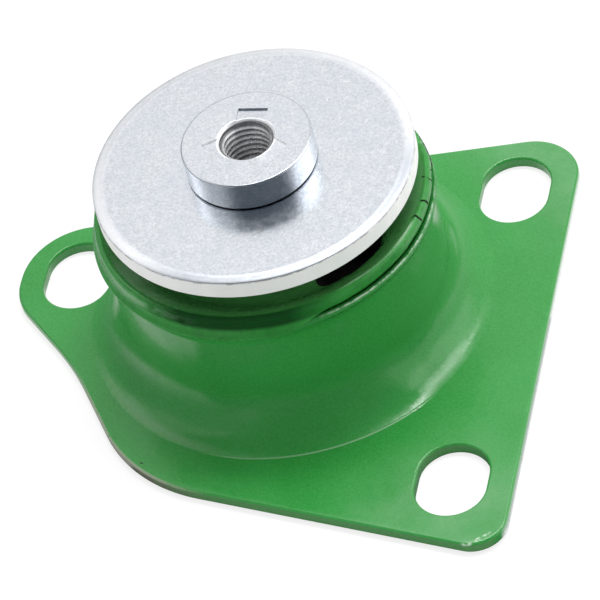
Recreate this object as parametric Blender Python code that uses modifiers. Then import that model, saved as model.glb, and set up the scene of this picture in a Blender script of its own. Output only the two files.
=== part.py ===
"""Engine mount: a pressed steel cup with a slotted flange holds a bonded rubber spring, and the
rubber carries a steel core, a limiting disc and a threaded bush. Metres, +Z up. The mount's axis is
vertical, the flange lies on Z = 0, and the origin is the centre of the flange's bounding box."""
import math

import bmesh
import bpy
from mathutils import Matrix, Vector

# Sheet steel cup
SHEET = 0.0023
CUP_RADIUS = 0.0310
FILLET_RADIUS = 0.0078
RIM_HEIGHT = 0.0272
RIM_REACH = 0.0019
RIM_BEND = 0.0030
RIM_ANGLE = math.radians(45)
EDGE_ROUND = 0.0005

# Slots in the flange, placed from the cup's wall; the left one sits off the axis
SLOT_WIDTH = 0.0132
SLOT_RUN = 0.0034
SLOT_EDGE = 0.0005
RIGHT_SLOTS_FROM_WALL = 0.0071
LEFT_SLOT_FROM_WALL = 0.0125
REAR_SLOT_FROM_WALL = -0.0017
FRONT_SLOT_FROM_WALL = 0.0119
LEFT_SLOT_Y = 0.0065

# Outline of the flange
RIGHT_LAND = 0.0117
REAR_LAND = 0.0152
FRONT_LAND = 0.0167
LOBE_LAND = 0.0049
LOBE_REAR_EASE = 0.0019
LOBE_FRONT_EASE = 0.0002
CUP_MARGIN = 0.0031
REAR_CORNER_RADIUS = 0.0097
FRONT_CORNER_RADIUS = 0.0063
NECK_RADIUS = 0.0060
REAR_EDGE_ANGLE = math.radians(10.6)
WAIST_ANGLE = math.radians(201.9)
WAIST_MARGIN = 0.0041
WAIST_RADIUS = 0.0700
SWEEP_ANGLE = math.radians(243.1)
SWEEP_MARGIN = 0.0108
SWEEP_RADIUS = 0.0315

# Disc, bush and core
DISC_RADIUS = 0.0300
DISC_THICKNESS = 0.0040
DISC_EDGE_ROUND = 0.00095
DISC_BURR = 0.0003
DISC_CLEARANCE = 0.0041
BUSH_HEAD_RADIUS = 0.01215
BUSH_HEAD_HEIGHT = 0.0059
BUSH_SHANK_RADIUS = 0.0080
BUSH_EDGE = 0.0003
BORE_RADIUS = 0.00435
MOUTH_RADIUS = 0.0059
CORE_NECK_RADIUS = 0.0150
CORE_FOOT_RADIUS = 0.0110
CORE_FOOT_Z = 0.0090
CORE_EDGE = 0.0010

# Stake dents in the bush's face
DENT_COUNT = 3
DENT_WIDTH = 0.0051
DENT_REACH = 0.0077
DENT_DEPTH = 0.00065
DENT_SLOPE = math.radians(8)
DENT_START = math.radians(91)

# Rubber spring
BEAD_INSET = 0.0005
BEAD_LIFT = 0.0021
CREST_RADIUS = 0.0008
BEAD_SIDE_RADIUS = 0.0025
BEAD_SIDE_ANGLE = math.radians(20)
BEAD_SLOPE = math.radians(33)
TROUGH_RADIUS = 0.0220
TROUGH_BEND = 0.0030
SLEEVE_WALL = 0.0020
SLEEVE_DROP = 0.0045
RUBBER_FOOT_Z = 0.0075
RUBBER_LIP = 0.0025
ARCH_RISE = 0.0055
POCKET_COUNT = 2
POCKET_ANGLE = math.radians(-31)
POCKET_SPAN = math.radians(26)
POCKET_OUTER = 0.0255
POCKET_WIDTH = 0.0070

# Clearance between touching pieces, and fineness of round shapes
SEAT_GAP = 0.0003
LARGE_STEPS = 64
SMALL_STEPS = 48
ARC_SAG = 0.00005

TOE_RADIUS = CUP_RADIUS + FILLET_RADIUS
RIM_OUT = Vector((math.sin(RIM_ANGLE), math.cos(RIM_ANGLE)))
RIM_IN = Vector((-RIM_OUT.y, RIM_OUT.x))
RIM_CORNER = Vector((CUP_RADIUS + RIM_REACH, RIM_HEIGHT)) + RIM_IN * SHEET
RIM_BEND_X = CUP_RADIUS + RIM_BEND
RIM_STRAIGHT = (RIM_REACH - RIM_BEND * (1 - math.cos(RIM_ANGLE))) / math.sin(RIM_ANGLE)
RIM_BEND_Z = RIM_HEIGHT - RIM_STRAIGHT * math.cos(RIM_ANGLE) - RIM_BEND * math.sin(RIM_ANGLE)
CREST_CENTRE = RIM_CORNER + Vector((-BEAD_INSET, BEAD_LIFT))
DISC_BOTTOM = CREST_CENTRE.y + CREST_RADIUS + DISC_CLEARANCE
DISC_TOP = DISC_BOTTOM + DISC_THICKNESS
BUSH_TOP = DISC_TOP + SEAT_GAP + BUSH_HEAD_HEIGHT
SLOT_CENTRES = [
    Vector((CUP_RADIUS + RIGHT_SLOTS_FROM_WALL, CUP_RADIUS + REAR_SLOT_FROM_WALL)),
    Vector((CUP_RADIUS + RIGHT_SLOTS_FROM_WALL, -CUP_RADIUS - FRONT_SLOT_FROM_WALL)),
    Vector((-CUP_RADIUS - LEFT_SLOT_FROM_WALL, LEFT_SLOT_Y)),
]


def polar(radius, angle):
    """Point of the plan view at a radius and an angle round the axis."""
    return Vector((radius * math.cos(angle), radius * math.sin(angle)))


def arc(centre, radius, start, end):
    """Points of an arc, both ends included; its chords miss the true arc by ARC_SAG at most."""
    step = 2 * math.acos(1 - ARC_SAG / radius)
    count = math.ceil(abs(end - start) / step)
    angles = [start + (end - start) * i / count for i in range(count + 1)]
    return [(centre[0] + radius * math.cos(a), centre[1] + radius * math.sin(a)) for a in angles]


def neck_angle(shoulder, point, direction):
    """Angle round the axis where the shoulder hands over to the rounding before a straight edge."""
    outward = Vector((-direction.y, direction.x)) * math.copysign(1, direction.x)
    across = outward.dot(point) + NECK_RADIUS
    along = math.sqrt((shoulder + NECK_RADIUS) ** 2 - across ** 2)
    centre = outward * across + direction * along
    return math.atan2(centre.y, centre.x)


def tangent_direction(point, centre, radius):
    """Unit direction from a point along the tangent that keeps the circle on its right."""
    away = centre - point
    return Matrix.Rotation(math.asin(radius / away.length), 2) @ away.normalized()


def meet(point_a, direction_a, point_b, direction_b):
    """Crossing of two lines in the plan view."""
    span = point_b - point_a
    cross = direction_a.x * direction_b.y - direction_a.y * direction_b.x
    along = (span.x * direction_b.y - span.y * direction_b.x) / cross
    return point_a + direction_a * along


def rounded(corners):
    """Closed outline through corners given as (point, radius), each one rounded by its radius."""
    points = []
    for i, (corner, radius) in enumerate(corners):
        before = (corner - corners[i - 1][0]).normalized()
        after = (corners[(i + 1) % len(corners)][0] - corner).normalized()
        turn = math.atan2(before.x * after.y - before.y * after.x, before.dot(after))
        side = math.copysign(1, turn)
        left = Vector((-before.y, before.x)) * side
        centre = corner - before * radius * math.tan(abs(turn) / 2) + left * radius
        start = math.atan2(-left.y, -left.x)
        curve = arc(centre, radius, start, start + turn)
        if points and math.dist(points[-1], curve[0]) < ARC_SAG:
            curve = curve[1:]
        points += curve
    return points


def flange_outline():
    """Plan outline of the flange, anticlockwise, with the axis at the origin."""
    rear_slot, front_slot, left_slot = SLOT_CENTRES
    shoulder = TOE_RADIUS + CUP_MARGIN
    half_run = Vector((0, SLOT_RUN / 2))
    lobe_reach = SLOT_WIDTH / 2 + LOBE_LAND
    lobe_side = left_slot - Vector((lobe_reach, 0))
    lobe_rear = left_slot + half_run + Vector((0, lobe_reach))
    rear_corner = rear_slot + Vector((RIGHT_LAND, REAR_LAND))
    rear_edge = polar(1, REAR_EDGE_ANGLE)
    left_edge = Vector((-1, 0))
    rear_turn = neck_angle(shoulder, rear_corner, rear_edge)
    left_turn = neck_angle(shoulder, lobe_rear, left_edge)
    half_turn = (left_turn - rear_turn) / 2
    crown = polar(shoulder / math.cos(half_turn), rear_turn + half_turn)
    rear_neck = meet(crown, polar(1, rear_turn - math.pi / 2), rear_corner, rear_edge)
    left_neck = meet(crown, polar(1, left_turn + math.pi / 2), lobe_rear, left_edge)
    waist = polar(TOE_RADIUS + WAIST_MARGIN, WAIST_ANGLE)
    lower = tangent_direction(waist, left_slot - half_run, lobe_reach)
    return rounded([
        (rear_corner, REAR_CORNER_RADIUS),
        (rear_neck, NECK_RADIUS),
        (crown, shoulder),
        (left_neck, NECK_RADIUS),
        (Vector((lobe_side.x, lobe_rear.y)), lobe_reach + LOBE_REAR_EASE),
        (meet(waist, lower, lobe_side, Vector((0, 1))), lobe_reach + LOBE_FRONT_EASE),
        (waist, WAIST_RADIUS),
        (polar(TOE_RADIUS + SWEEP_MARGIN, SWEEP_ANGLE), SWEEP_RADIUS),
        (front_slot + Vector((RIGHT_LAND, -FRONT_LAND)), FRONT_CORNER_RADIUS),
    ])


def inset(outline, distance):
    """An anticlockwise outline moved inwards, point by point."""
    moved = []
    for i, (x, y) in enumerate(outline):
        here = Vector((x, y))
        before = (here - Vector(outline[i - 1])).normalized()
        after = (Vector(outline[(i + 1) % len(outline)]) - here).normalized()
        along = (before + after).normalized()
        moved.append(here + Vector((-along.y, along.x)) * distance / along.dot(after))
    return moved


def cup_profile():
    """Outside of the cup from the flared rim down to the fillet's toe, as (radius, height)."""
    points = [(CUP_RADIUS + RIM_REACH, RIM_HEIGHT)]
    points += arc((RIM_BEND_X, RIM_BEND_Z), RIM_BEND, math.pi - RIM_ANGLE, math.pi)
    points += arc((TOE_RADIUS, SHEET + FILLET_RADIUS), FILLET_RADIUS, math.pi, math.pi * 1.5)
    return points


def material(name, colour, roughness, metallic):
    made = bpy.data.materials.new(name)
    made.use_nodes = True
    shader = made.node_tree.nodes["Principled BSDF"]
    shader.inputs["Base Color"].default_value = (*colour, 1)
    shader.inputs["Roughness"].default_value = roughness
    shader.inputs["Metallic"].default_value = metallic
    return made


def add_object(name, mesh, collection, parent, paint=None):
    made = bpy.data.objects.new(name, mesh)
    collection.objects.link(made)
    made.parent = parent
    if paint:
        mesh.materials.append(paint)
    return made


def mesh_from(bm, name):
    mesh = bpy.data.meshes.new(name)
    bm.to_mesh(mesh)
    bm.free()
    return mesh


def turned(name, profile, steps, collection, parent, paint=None):
    """A closed (radius, height) profile, turned round the axis with a Screw modifier."""
    mesh = bpy.data.meshes.new(name)
    count = len(profile)
    edges = [(i, (i + 1) % count) for i in range(count)]
    mesh.from_pydata([(radius, 0, height) for radius, height in profile], edges, [])
    made = add_object(name, mesh, collection, parent, paint)
    screw = made.modifiers.new("Turn", "SCREW")
    screw.steps = steps
    screw.render_steps = steps
    screw.use_merge_vertices = True
    screw.merge_threshold = 0.00001
    screw.use_smooth_shade = True
    return made


def cut(target, cutter):
    cutter.hide_render = True
    cutter.display_type = "WIRE"
    boolean = target.modifiers.new("Cut " + cutter.name, "BOOLEAN")
    boolean.operation = "DIFFERENCE"
    boolean.solver = "EXACT"
    boolean.object = cutter


def lofted(name, loops, collection, parent):
    """A closed solid through loops of equal length, bottom loop first, each anticlockwise."""
    bm = bmesh.new()
    rings = [[bm.verts.new(point) for point in loop] for loop in loops]
    for low, high in zip(rings, rings[1:]):
        for i in range(len(low)):
            j = (i + 1) % len(low)
            bm.faces.new((low[i], low[j], high[j], high[i]))
    bm.faces.new(list(reversed(rings[0])))
    bm.faces.new(rings[-1])
    return add_object(name, mesh_from(bm, name), collection, parent)


def slot_loop(centre, grow, height):
    """Outline of one slot, widened all round by grow, at a height."""
    radius = SLOT_WIDTH / 2
    widen = 1 + grow / radius
    points = []
    for run, start in ((SLOT_RUN / 2, 0), (-SLOT_RUN / 2, math.pi)):
        for x, y in arc((0, 0), radius, start, start + math.pi):
            points.append((centre.x + x * widen, centre.y + run + y * widen, height))
    return points


def slot_cutter(name, centre, collection, parent):
    """Cutter for one slot; it widens at the flange's top face, so the upper edge comes out bevelled."""
    above = SLOT_EDGE / 2
    loops = [
        slot_loop(centre, 0, -SHEET),
        slot_loop(centre, 0, SHEET - SLOT_EDGE),
        slot_loop(centre, SLOT_EDGE + above, SHEET + above),
        slot_loop(centre, SLOT_EDGE + above, SHEET + FILLET_RADIUS),
    ]
    return lofted(name, loops, collection, parent)


def build_housing(collection, cutters, parent, paint):
    """One skin, turned for the cup and filled flat for the flange, thickened to the sheet's gauge."""
    bm = bmesh.new()
    profile = [bm.verts.new((radius, 0, height)) for radius, height in cup_profile()]
    edges = [bm.edges.new(pair) for pair in zip(profile, profile[1:])]
    bmesh.ops.spin(bm, geom=profile + edges, cent=(0, 0, 0), axis=(0, 0, 1),
                   angle=math.tau, steps=LARGE_STEPS, use_merge=True)
    bmesh.ops.remove_doubles(bm, verts=bm.verts, dist=0.00001)
    toe = [edge for edge in bm.edges if edge.is_boundary and edge.verts[0].co.z < SHEET * 1.5]
    outline = flange_outline()
    border = [bm.verts.new((x, y, SHEET)) for x, y in outline]
    inner = [bm.verts.new((x, y, SHEET)) for x, y in inset(outline, EDGE_ROUND * 2)]
    for i in range(len(border)):
        bm.faces.new((border[i - 1], border[i], inner[i], inner[i - 1]))
    seam = [bm.edges.get((inner[i - 1], inner[i])) for i in range(len(inner))]
    bmesh.ops.triangle_fill(bm, use_beauty=True, edges=toe + seam)
    bmesh.ops.recalc_face_normals(bm, faces=bm.faces)
    flat = max(bm.faces, key=lambda face: face.calc_center_median().xy.length)
    if flat.normal.z < 0:
        bmesh.ops.reverse_faces(bm, faces=bm.faces)
    for face in bm.faces:
        face.smooth = True
    housing = add_object("housing", mesh_from(bm, "housing"), collection, parent, paint)
    gauge = housing.modifiers.new("Gauge", "SOLIDIFY")
    gauge.thickness = SHEET
    gauge.offset = -1
    gauge.use_even_offset = True
    gauge.use_quality_normals = True
    soft = housing.modifiers.new("Soft edges", "BEVEL")
    soft.width = EDGE_ROUND
    soft.segments = 2
    soft.limit_method = "ANGLE"
    soft.angle_limit = math.radians(40)
    soft.use_clamp_overlap = False
    for name, centre in zip(("rear_slot", "front_slot", "left_slot"), SLOT_CENTRES):
        cut(housing, slot_cutter(name, centre, cutters, parent))


def build_disc(collection, parent, paint):
    hole = BUSH_SHANK_RADIUS + SEAT_GAP
    round_centre = (DISC_RADIUS - DISC_EDGE_ROUND, DISC_TOP - DISC_EDGE_ROUND)
    profile = arc(round_centre, DISC_EDGE_ROUND, math.pi / 2, 0)
    profile += [
        (DISC_RADIUS, DISC_BOTTOM + DISC_BURR),
        (DISC_RADIUS - DISC_BURR, DISC_BOTTOM),
        (hole, DISC_BOTTOM),
        (hole, DISC_TOP),
    ]
    turned("top_disc", profile, LARGE_STEPS, collection, parent, paint)


def core_radius(height):
    """Outer radius of the core's cone at a height."""
    top = DISC_BOTTOM - SEAT_GAP
    share = (height - CORE_FOOT_Z) / (top - CORE_FOOT_Z)
    return CORE_FOOT_RADIUS + (CORE_NECK_RADIUS - CORE_FOOT_RADIUS) * share


def build_core(collection, parent, paint):
    top = DISC_BOTTOM - SEAT_GAP
    bore = BUSH_SHANK_RADIUS + SEAT_GAP
    profile = [
        (CORE_NECK_RADIUS - CORE_EDGE, top),
        (core_radius(top - CORE_EDGE), top - CORE_EDGE),
        (core_radius(CORE_FOOT_Z + CORE_EDGE), CORE_FOOT_Z + CORE_EDGE),
        (CORE_FOOT_RADIUS - CORE_EDGE, CORE_FOOT_Z),
        (bore, CORE_FOOT_Z),
        (bore, top),
    ]
    turned("inner_core", profile, SMALL_STEPS, collection, parent, paint)


def build_bush(collection, cutters, parent, paint):
    """Headed bush through the disc and the core, with three dents staked round its mouth."""
    mouth_depth = MOUTH_RADIUS - BORE_RADIUS
    profile = [
        (BUSH_HEAD_RADIUS - BUSH_EDGE, BUSH_TOP),
        (BUSH_HEAD_RADIUS, BUSH_TOP - BUSH_EDGE),
        (BUSH_HEAD_RADIUS, DISC_TOP + SEAT_GAP),
        (BUSH_SHANK_RADIUS, DISC_TOP + SEAT_GAP),
        (BUSH_SHANK_RADIUS, CORE_FOOT_Z + BUSH_EDGE),
        (BUSH_SHANK_RADIUS - BUSH_EDGE, CORE_FOOT_Z),
        (BORE_RADIUS, CORE_FOOT_Z),
        (BORE_RADIUS, BUSH_TOP - mouth_depth),
        (MOUTH_RADIUS, BUSH_TOP),
    ]
    bush = turned("threaded_bush", profile, SMALL_STEPS, collection, parent, paint)
    for i in range(DENT_COUNT):
        angle = DENT_START + math.tau * i / DENT_COUNT
        cut(bush, dent_cutter("dent_%d" % (i + 1), angle, cutters, parent))


def dent_cutter(name, angle, collection, parent):
    """Block whose lower outer edge sinks to the dent's full depth and whose floor rises inwards."""
    bm = bmesh.new()
    bmesh.ops.create_cube(bm, size=1)
    reach = DENT_REACH - BORE_RADIUS
    height = DENT_DEPTH * 4
    bmesh.ops.scale(bm, verts=bm.verts, vec=(reach, DENT_WIDTH, height))
    bmesh.ops.translate(bm, verts=bm.verts, vec=(-reach / 2, 0, height / 2))
    bmesh.ops.rotate(bm, verts=bm.verts, matrix=Matrix.Rotation(DENT_SLOPE, 3, "Y"))
    cutter = add_object(name, mesh_from(bm, name), collection, parent)
    edge = polar(DENT_REACH, angle)
    cutter.location = (edge.x, edge.y, BUSH_TOP - DENT_DEPTH)
    cutter.rotation_euler.z = angle
    return cutter


def rubber_profile():
    """Section of the rubber: bead over the rim, sloping top, sleeve on the core, arched underside."""
    wall = CUP_RADIUS - SHEET - SEAT_GAP
    side_centre = CREST_CENTRE + polar(CREST_RADIUS - BEAD_SIDE_RADIUS, BEAD_SIDE_ANGLE)
    face_gap = (RIM_CORNER - side_centre).dot(RIM_OUT) + SEAT_GAP
    bead_foot = math.atan2(RIM_OUT.y, RIM_OUT.x) - math.acos(face_gap / BEAD_SIDE_RADIUS)
    bead = arc(CREST_CENTRE, CREST_RADIUS, math.pi / 2 + BEAD_SLOPE, BEAD_SIDE_ANGLE)
    bead += arc(side_centre, BEAD_SIDE_RADIUS, BEAD_SIDE_ANGLE, bead_foot)[1:]
    slope_x, slope_z = bead[0]
    corner = RIM_CORNER + (RIM_IN + RIM_OUT) * SEAT_GAP
    bend = RIM_BEND + SHEET + SEAT_GAP
    trough_z = slope_z - (slope_x - TROUGH_RADIUS) * math.tan(BEAD_SLOPE)
    sleeve_top = DISC_BOTTOM - SEAT_GAP - SLEEVE_DROP
    sleeve = core_radius(sleeve_top) + SEAT_GAP
    foot = core_radius(CORE_FOOT_Z + CORE_EDGE) + SEAT_GAP
    arch_mid = (wall + foot) / 2
    arch_top = RUBBER_FOOT_Z + ARCH_RISE
    profile = [(sleeve, sleeve_top), (sleeve + SLEEVE_WALL, sleeve_top)]
    trough_start = math.pi * 1.1
    trough_end = math.pi * 1.5 + BEAD_SLOPE
    profile += arc((TROUGH_RADIUS, trough_z + TROUGH_BEND), TROUGH_BEND, trough_start, trough_end)
    profile += bead
    profile.append((corner.x, corner.y))
    profile += arc((RIM_BEND_X, RIM_BEND_Z), bend, math.pi - RIM_ANGLE, math.pi)
    profile += [
        (wall, RUBBER_FOOT_Z),
        (wall - RUBBER_LIP, RUBBER_FOOT_Z),
        (arch_mid, arch_top),
        (foot + RUBBER_LIP, CORE_FOOT_Z + CORE_EDGE),
        (foot, CORE_FOOT_Z + CORE_EDGE),
    ]
    return profile


def pocket_cutter(name, angle, collection, parent):
    """Kidney-shaped post that opens one pocket through the rubber."""
    radius = POCKET_WIDTH / 2
    middle = POCKET_OUTER - radius
    half = POCKET_SPAN / 2
    start, end = angle - half, angle + half
    points = arc((0, 0), POCKET_OUTER, start, end)
    points += arc(polar(middle, end), radius, end, end + math.pi)[1:]
    points += arc((0, 0), POCKET_OUTER - POCKET_WIDTH, end, start)[1:]
    points += arc(polar(middle, start), radius, start + math.pi, start + math.tau)[1:-1]
    loops = [[(x, y, z) for x, y in points] for z in (0, DISC_TOP)]
    return lofted(name, loops, collection, parent)


def build_rubber(collection, cutters, parent, paint):
    rubber = turned("rubber_spring", rubber_profile(), LARGE_STEPS, collection, parent, paint)
    for i in range(POCKET_COUNT):
        angle = POCKET_ANGLE + math.tau * i / POCKET_COUNT
        cut(rubber, pocket_cutter("pocket_%d" % (i + 1), angle, cutters, parent))


def new_empty(name, collection, location, parent=None):
    made = bpy.data.objects.new(name, None)
    made.location = location
    made.parent = parent
    collection.objects.link(made)
    return made


def main():
    for old in list(bpy.data.objects):
        bpy.data.objects.remove(old, do_unlink=True)
    parts = bpy.data.collections.new("Engine mount")
    cutters = bpy.data.collections.new("Cutters")
    for collection in (parts, cutters):
        bpy.context.scene.collection.children.link(collection)

    paint = material("green_paint", (0.075, 0.36, 0.085), 0.25, 0.0)
    rubber = material("painted_rubber", (0.05, 0.26, 0.06), 0.35, 0.0)
    zinc = material("zinc_plating", (0.72, 0.74, 0.78), 0.35, 1.0)
    steel = material("core_steel", (0.35, 0.35, 0.36), 0.45, 1.0)

    xs, ys = zip(*flange_outline())
    axis_place = (-(min(xs) + max(xs)) / 2, -(min(ys) + max(ys)) / 2, 0)
    mount_axis = new_empty("mount_axis", parts, axis_place)
    travel_axis = new_empty("travel_axis", parts, (0, 0, 0), mount_axis)

    build_housing(parts, cutters, mount_axis, paint)
    build_rubber(parts, cutters, mount_axis, rubber)
    build_core(parts, travel_axis, steel)
    build_disc(parts, travel_axis, zinc)
    build_bush(parts, cutters, travel_axis, zinc)


main()
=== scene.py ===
import math

import bmesh
import bpy
from mathutils import Matrix, Vector, noise


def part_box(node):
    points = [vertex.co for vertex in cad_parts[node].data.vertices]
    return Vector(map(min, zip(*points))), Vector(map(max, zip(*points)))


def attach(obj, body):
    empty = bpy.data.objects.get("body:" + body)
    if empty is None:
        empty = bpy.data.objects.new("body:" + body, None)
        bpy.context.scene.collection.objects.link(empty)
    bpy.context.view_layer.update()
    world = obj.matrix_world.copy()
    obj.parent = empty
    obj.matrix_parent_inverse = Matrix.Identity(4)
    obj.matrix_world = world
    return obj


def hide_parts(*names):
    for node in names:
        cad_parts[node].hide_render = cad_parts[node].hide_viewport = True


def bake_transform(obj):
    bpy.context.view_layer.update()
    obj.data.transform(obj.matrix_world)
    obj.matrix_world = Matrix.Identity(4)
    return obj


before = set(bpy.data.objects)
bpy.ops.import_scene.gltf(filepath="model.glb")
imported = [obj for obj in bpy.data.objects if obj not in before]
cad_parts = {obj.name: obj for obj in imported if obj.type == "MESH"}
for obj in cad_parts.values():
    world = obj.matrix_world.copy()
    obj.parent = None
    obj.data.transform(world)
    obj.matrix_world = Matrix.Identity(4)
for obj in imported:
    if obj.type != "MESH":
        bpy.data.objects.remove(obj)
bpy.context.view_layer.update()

# The mount's axis and the heights that the solids give
DISC_LOW, DISC_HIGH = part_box("top_disc")
BUSH_LOW, BUSH_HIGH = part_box("threaded_bush")
AXIS = Vector(((DISC_LOW.x + DISC_HIGH.x) / 2, (DISC_LOW.y + DISC_HIGH.y) / 2, 0))

# Sheet steel cup
SHEET = 0.0023
CUP_RADIUS = 0.0310
FILLET_RADIUS = 0.0078
TOE_RADIUS = CUP_RADIUS + FILLET_RADIUS
RIM_HEIGHT = 0.0272
RIM_REACH = 0.0019
RIM_BEND = 0.0030
RIM_ANGLE = math.radians(45)
EDGE_ROUND = 0.00065

# Slots in the flange
SLOT_WIDTH = 0.0132
SLOT_RUN = 0.0034
SLOT_EDGE = 0.0005
SLOT_CENTRES = [
    Vector((CUP_RADIUS + 0.0071, CUP_RADIUS - 0.0017)),
    Vector((CUP_RADIUS + 0.0071, -CUP_RADIUS - 0.0119)),
    Vector((-CUP_RADIUS - 0.0125, 0.0065)),
]

# Outline of the flange
RIGHT_LAND = 0.0117
REAR_LAND = 0.0152
FRONT_LAND = 0.0167
LOBE_LAND = 0.0049
LOBE_REAR_EASE = 0.0019
LOBE_FRONT_EASE = 0.0002
CUP_MARGIN = 0.0031
REAR_CORNER_RADIUS = 0.0097
FRONT_CORNER_RADIUS = 0.0063
NECK_RADIUS = 0.0060
REAR_EDGE_ANGLE = math.radians(10.6)
WAIST_ANGLE = math.radians(201.9)
WAIST_MARGIN = 0.0041
WAIST_RADIUS = 0.0700
SWEEP_ANGLE = math.radians(243.1)
SWEEP_MARGIN = 0.0108
SWEEP_RADIUS = 0.0315

# Disc, bush and core
DISC_RADIUS = 0.0300
UNDER_ROUND = 0.0004
BAND_WIDTH = 0.0017
BAND_RUN = 0.0014
BAND_SLOPE = math.radians(9.5)
BUSH_HEAD_RADIUS = 0.01215
HEAD_ROUND = 0.00035
HEAD_EASE = 0.0002
BUSH_SHANK_RADIUS = 0.0080
BUSH_FOOT_Z = 0.0090
FOOT_EDGE = 0.0003
CORE_NECK_RADIUS = 0.0150
CORE_FOOT_RADIUS = 0.0110
CORE_EDGE = 0.0010
THREAD_MINOR = 0.00435
THREAD_MAJOR = 0.0050
THREAD_PITCH = 0.00125
THREAD_STEPS = 96
MOUTH_RADIUS = 0.0055
DENT_WIDTH = 0.0051
DENT_REACH = 0.0077
DENT_DEPTH = 0.00036
DENT_SLOPE = math.radians(3)
DENT_START = math.radians(91)
STRUCK_ROUND = 0.00012

# Rubber spring
BEAD_INSET = 0.0005
BEAD_LIFT = 0.0021
CREST_RADIUS = 0.0008
BEAD_SIDE_RADIUS = 0.0025
BEAD_SIDE_ANGLE = math.radians(20)
BEAD_SLOPE = math.radians(33)
TROUGH_RADIUS = 0.0220
TROUGH_BEND = 0.0030
SLEEVE_WALL = 0.0020
SLEEVE_DROP = 0.0045
RUBBER_FOOT_Z = 0.0075
RUBBER_LIP = 0.0025
ARCH_RISE = 0.0055
POCKET_ANGLE = math.radians(-31)
POCKET_SPAN = math.radians(26)
POCKET_OUTER = 0.0255
POCKET_WIDTH = 0.0070
POCKET_LIP = 0.0009
SPLIT_RADIUS = 0.0267
SECTORS = 8

BEAD_STEPS = 720
SIDE_POINTS = 26

# Finer forms of the finished part: seam, rim, toe of the fillet and the bead's worn places
SEAM_GAP = 0.00012
RIM_ROUND = 0.0009
RIM_THINNING = 0.20
TORN_THINNING = 0.25
THINNING_REACH = 0.0035
TOE_SLOPE = math.radians(13)
TOE_EASE = 0.75
TOE_TAIL = 0.00025
COVE_RADIUS = 0.0020
SKIN = 0.00004
HOLLOW_DEPTH = 0.00030
CRUMPLE_DEPTH = 0.00022
CLEARING_DEPTH = 0.00022
TORN_DEPTH = 0.0007

# Dark chips in the paint: radius in mm, azimuth and height; points of the painted edge highlight
CHIPS = [(45.44, -117.4, SHEET), (38.9, -42.2, SHEET), (58.1, -65.9, SHEET * 0.8)]
HIGHLIGHT_EDGE = [(0.0330, -0.0496), (0.0400, -0.0506), (0.0462, -0.0502), (0.0497, -0.0475)]

# Scratches in the plating: radius in mm, azimuth, length in mm and lean
DISC_SCRATCHES = [
    (21.0, 48.0, 1.5, 60), (23.4, 40.0, 1.0, 35), (19.2, 55.0, 0.8, 80), (24.5, 57.0, 0.9, 20),
    (17.5, 33.0, 1.2, 50), (22.0, 28.0, 0.7, 65), (15.8, 20.0, 1.1, 40), (25.2, 70.0, 0.8, 10),
    (20.5, 82.0, 0.9, 40), (21.8, -40.0, 0.8, 30), (23.9, 165.0, 0.9, 75),
]
BUSH_SCRATCHES = [(9.6, 40.0, 0.8, 20), (9.9, -100.0, 0.7, 60)]

# Cracks in the bead's paint: points by radius in mm, azimuth and height in mm, and the width
CRACKS = [
    ([(29.7, 9.0, 31.3), (30.3, 8.2, 31.6), (31.3, 7.2, 31.4), (31.5, 8.4, 30.2),
      (31.5, 9.6, 29.2)], 0.000225),
    ([(30.6, -3.3, 31.7), (31.2, -2.9, 31.5), (31.6, -2.0, 30.1)], 0.00036),
    ([(29.9, -11.0, 31.5), (30.5, -10.5, 31.7), (31.3, -10.8, 31.5), (31.6, -10.0, 30.3)],
     0.00033),
    ([(31.4, 12.0, 31.0), (31.6, 14.0, 30.2)], 0.00021),
    ([(31.5, 96.0, 31.0), (31.6, 99.0, 30.2), (31.6, 103.0, 29.6)], 0.00027),
    ([(31.3, 151.0, 31.4), (31.6, 153.0, 30.4)], 0.00024),
]

# Gaps between pieces that touch in the solids, and the fineness of the meshes
SEAT_GAP = 0.0003
STEPS = 192
ARC_SAG = 0.000006
WELD = 0.00001
BEVEL_ANGLE = math.radians(40)

# Surroundings: the sky's strength for diffuse light, and the cards on the floor
DIFFUSE_SKY = 0.62
CARD_REACH = 0.9
CARD_LIFT = -0.00002

# Heights and points that follow from the lengths above
DISC_TOP = DISC_HIGH.z
DISC_BOTTOM = DISC_LOW.z
BUSH_TOP = BUSH_HIGH.z
RIM_OUT = Vector((math.sin(RIM_ANGLE), math.cos(RIM_ANGLE)))
RIM_IN = Vector((-RIM_OUT.y, RIM_OUT.x))
RIM_CORNER = Vector((CUP_RADIUS + RIM_REACH, RIM_HEIGHT)) + RIM_IN * SHEET
RIM_BEND_X = CUP_RADIUS + RIM_BEND
RIM_STRAIGHT = (RIM_REACH - RIM_BEND * (1 - math.cos(RIM_ANGLE))) / math.sin(RIM_ANGLE)
RIM_BEND_Z = RIM_HEIGHT - RIM_STRAIGHT * math.cos(RIM_ANGLE) - RIM_BEND * math.sin(RIM_ANGLE)
CREST_CENTRE = RIM_CORNER + Vector((-BEAD_INSET, BEAD_LIFT))

scene = bpy.context.scene


# Shapes: curves, outlines and meshes
def polar(radius, angle):
    return Vector((radius * math.cos(angle), radius * math.sin(angle)))


def arc(centre, radius, start, end, sag=ARC_SAG):
    step = 2 * math.acos(1 - sag / radius)
    count = math.ceil(abs(end - start) / step)
    angles = [start + (end - start) * i / count for i in range(count + 1)]
    return [(centre[0] + radius * math.cos(a), centre[1] + radius * math.sin(a)) for a in angles]


def neck_angle(shoulder, point, direction):
    outward = Vector((-direction.y, direction.x)) * math.copysign(1, direction.x)
    across = outward.dot(point) + NECK_RADIUS
    along = math.sqrt((shoulder + NECK_RADIUS) ** 2 - across ** 2)
    centre = outward * across + direction * along
    return math.atan2(centre.y, centre.x)


def tangent_direction(point, centre, radius):
    away = centre - point
    return Matrix.Rotation(math.asin(radius / away.length), 2) @ away.normalized()


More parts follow.
